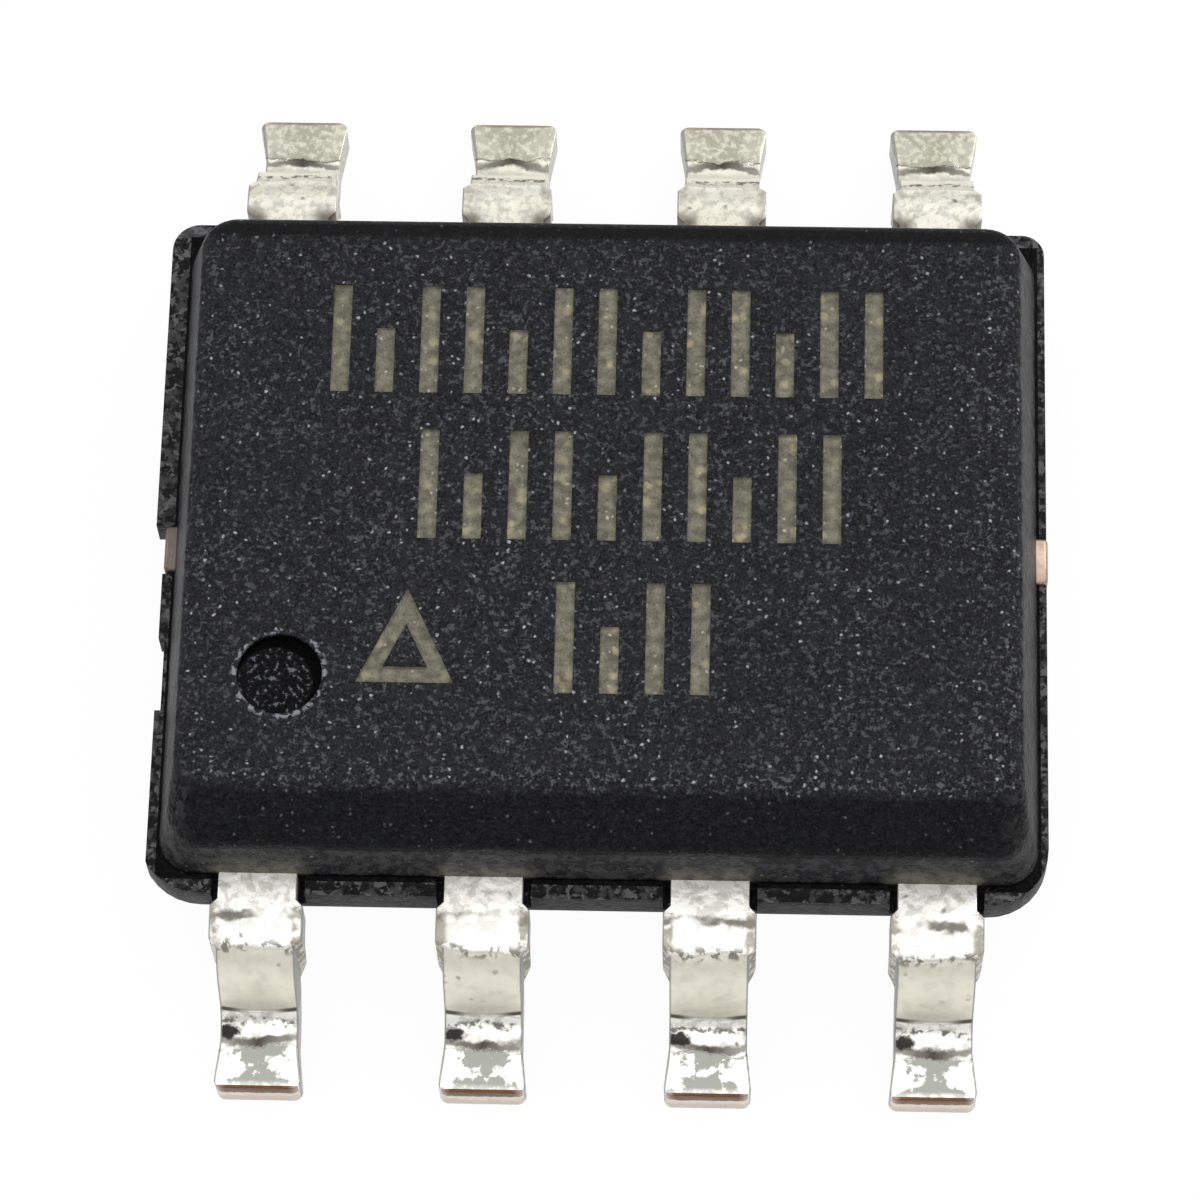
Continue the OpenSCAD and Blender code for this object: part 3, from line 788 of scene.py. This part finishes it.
class CHIP_OT_case(bpy.types.Operator):
    """Dress the moulded case"""
    bl_idname = "chip.case"
    bl_label = "Case"

    def execute(self, context):
        dress("molded_case", "case_shell", Resin().build(), sizes().case_edge, CASE_ANGLE)
        return {"FINISHED"}


class CHIP_OT_leads(bpy.types.Operator):
    """Dress the eight leads"""
    bl_idname = "chip.leads"
    bl_label = "Leads"

    def execute(self, context):
        tin = Plating().build()
        for number in LEADS:
            dress(f"lead_{number}", f"lead_{number}_plated", tin,
                  sizes().lead_edge, LEAD_ANGLE)
        return {"FINISHED"}


class CHIP_OT_inner(bpy.types.Operator):
    """Give the lead frame's middle, the die and the wires their finishes"""
    bl_idname = "chip.inner"
    bl_label = "Inner pieces"

    def execute(self, context):
        c = colours()
        copper = metal_material("cut_copper", c.tie_bar, roughness=0.4, scale=30.0, duller=0.75)
        dress("die_paddle", "paddle_and_tie_bars", copper, sizes().lead_edge, LEAD_ANGLE)
        finish_node("die_attach", adhesive_material())
        finish_node("silicon_die", die_material())
        gold = metal_material("gold", c.gold, roughness=0.2, scale=60.0)
        for number in LEADS:
            finish_node(f"bond_wire_{number}", gold)
        return {"FINISHED"}


# ---------------------------------------------------------------- stage

LAMP_DISTANCE = 0.09
LAMPS = (   # name, azimuth and elevation in degrees, size in metres, brightness
    ("overhead softbox", 180, 84, 0.20, 0.7),
    ("front softbox", 0, 55, 0.05, 2.0),
    ("right lamp", 125, 36, 0.024, 14.0),
    ("left lamp", -110, 24, 0.03, 5.0),
)
SKY_STRENGTH = {"plain": 0.45, "mirrored": 0.52, "seen": 1.0}
FLOOR_GLOW = {"plain": 0.35, "mirrored": 0.7, "seen": 0.96}
SENSOR_WIDTH = 36                       # in millimetres, as a camera's sensor and lens are
CLIP = (0.001, 10)


def towards(azimuth, elevation):
    """Direction from the part. Azimuth 0 is over the front side, and 90 degrees is over the right end."""
    return Vector((math.sin(azimuth) * math.cos(elevation), -math.cos(azimuth) * math.cos(elevation),
                   math.sin(elevation)))


def area_lamp(name, azimuth, elevation, size, brightness):
    """A soft square lamp that faces the part."""
    out = towards(math.radians(azimuth), math.radians(elevation))
    data = bpy.data.lights.new(name, "AREA")
    data.shape = "SQUARE"
    data.size = size
    data.energy = brightness * math.pi * size ** 2
    lamp = bpy.data.objects.new(name, data)
    lamp.location = out * LAMP_DISTANCE
    lamp.rotation_euler = (-out).to_track_quat("-Z", "Y").to_euler()
    lamp.visible_camera = False
    bpy.context.scene.collection.objects.link(lamp)


def by_ray(tree, plain, mirrored, seen):
    """A value for light on the part, for its reflections and for what the camera sees."""
    path = tree.nodes.new("ShaderNodeLightPath")
    value = None
    for ray, amount in (("Is Glossy Ray", mirrored - plain), ("Is Transmission Ray", seen - plain),
                        ("Is Camera Ray", seen - plain)):
        step = tree.nodes.new("ShaderNodeMath")
        step.operation = "MULTIPLY_ADD"
        step.inputs[1].default_value = amount
        step.inputs[2].default_value = plain
        tree.links.new(path.outputs[ray], step.inputs[0])
        if value:
            tree.links.new(value, step.inputs[2])
        value = step.outputs[0]
    return value


class CHIP_OT_stage(bpy.types.Operator):
    """Set up the floor, the lamps, the sky and the camera"""
    bl_idname = "chip.stage"
    bl_label = "Stage"

    def execute(self, context):
        self.floor()
        self.lights()
        self.camera()
        context.scene.view_settings.view_transform = "Standard"
        return {"FINISHED"}

    def floor(self):
        bpy.ops.object.select_all(action="DESELECT")
        bpy.ops.mesh.primitive_plane_add(size=sizes().floor_size)
        floor = bpy.context.object
        floor.name = "floor"
        s = Shader("floor_paper")
        s.finish(base_color=colours().floor, roughness=0.9)
        glow = s.tree.nodes.new("ShaderNodeEmission")
        glow.inputs["Color"].default_value = (1, 1, 1, 1)
        glow.inputs["Strength"].default_value = 1.0
        mixed = s.tree.nodes.new("ShaderNodeMixShader")
        s.tree.links.new(by_ray(s.tree, **FLOOR_GLOW), mixed.inputs[0])
        s.tree.links.new(s.surface.outputs[0], mixed.inputs[1])
        s.tree.links.new(glow.outputs[0], mixed.inputs[2])
        s.tree.links.new(mixed.outputs[0], s.output.inputs["Surface"])
        floor.data.materials.append(s.material)

    def lights(self):
        world = bpy.data.worlds.new("sky")
        bpy.context.scene.world = world
        world.use_nodes = True
        tree = world.node_tree
        sky = tree.nodes["Background"]
        sky.inputs["Color"].default_value = (1, 1, 1, 1)
        tree.links.new(by_ray(tree, **SKY_STRENGTH), sky.inputs["Strength"])
        for lamp in LAMPS:
            area_lamp(*lamp)

    def camera(self):
        v = bpy.context.scene.chip_view
        out = towards(v.azimuth, v.elevation)
        level = Vector((math.cos(v.azimuth), math.sin(v.azimuth), 0))
        rise = out.cross(level)
        right = level * math.cos(v.roll) + rise * math.sin(v.roll)
        up = rise * math.cos(v.roll) - level * math.sin(v.roll)
        place = Vector(v.target) + out * v.distance
        data = bpy.data.cameras.new("camera")
        data.sensor_width = SENSOR_WIDTH
        data.lens = v.lens
        data.shift_x, data.shift_y = v.shift
        data.clip_start, data.clip_end = CLIP
        camera = bpy.data.objects.new("camera", data)
        camera.matrix_world = Matrix.Translation(place) @ Matrix((right, up, out)).transposed().to_4x4()
        bpy.context.scene.collection.objects.link(camera)
        bpy.context.scene.camera = camera


# ---------------------------------------------------------------- panel and registration

class CHIP_PT_panel(bpy.types.Panel):
    """Shows the chip's settings and the buttons that dress its pieces and set the stage, in the sidebar"""
    bl_idname = "CHIP_PT_panel"
    bl_label = "Chip"
    bl_space_type = "VIEW_3D"
    bl_region_type = "UI"
    bl_category = "Chip"

    def draw(self, context):
        for name, group in GROUPS.items():
            for key in group.__annotations__:
                self.layout.prop(getattr(context.scene, name), key)
        for operator in OPERATORS:
            self.layout.operator(operator.bl_idname)


GROUPS = {"chip_sizes": ChipSizes, "chip_bands": ChipBands, "chip_colours": ChipColours,
          "chip_view": ChipView}
OPERATORS = (CHIP_OT_case, CHIP_OT_leads, CHIP_OT_inner, CHIP_OT_stage)
CLASSES = (*GROUPS.values(), *OPERATORS, CHIP_PT_panel)


def register():
    for cls in CLASSES:
        bpy.utils.register_class(cls)
    for name, group in GROUPS.items():
        setattr(bpy.types.Scene, name, PointerProperty(type=group))


def unregister():
    for name in GROUPS:
        delattr(bpy.types.Scene, name)
    for cls in reversed(CLASSES):
        bpy.utils.unregister_class(cls)


def main():
    register()
    bpy.ops.chip.case()
    bpy.ops.chip.leads()
    bpy.ops.chip.inner()
    bpy.ops.chip.stage()


if __name__ == "__main__":
    main()
